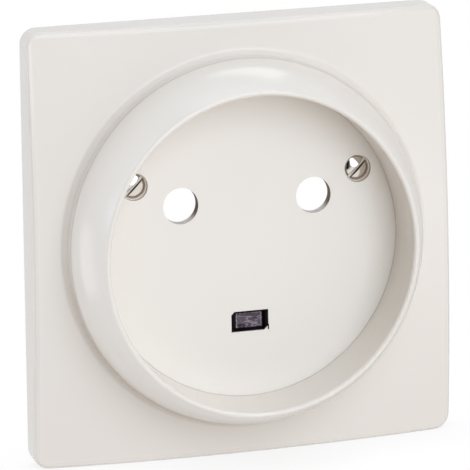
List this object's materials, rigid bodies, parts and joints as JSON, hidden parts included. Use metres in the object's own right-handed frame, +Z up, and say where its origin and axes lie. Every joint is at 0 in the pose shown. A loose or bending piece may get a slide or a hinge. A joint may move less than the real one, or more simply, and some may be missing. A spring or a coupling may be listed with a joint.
{
  "type": "wall socket cover plate",
  "caption": "Square crowned front cover of an earthed wall socket, with a raised round collar, a sunk floor with round pin holes, a dark earth insert and slotted screws.",
  "frame": {"origin": "middle of the plane where the cover's skirt meets the wall", "axes": "+Z up, +X to the right seen from the front, +Y into the wall"},
  "size_m": [0.06, 0.016, 0.06],
  "materials": {
    "cover": "glossy off-white moulding",
    "screws": "nickel-plated, lightly turned",
    "insert": "dark glossy plastic"
  },
  "bodies": {
    "root": {"cover_plate": "cover", "fixing_screws": "screws", "earth_insert": "insert"}
  },
  "joints": []
}
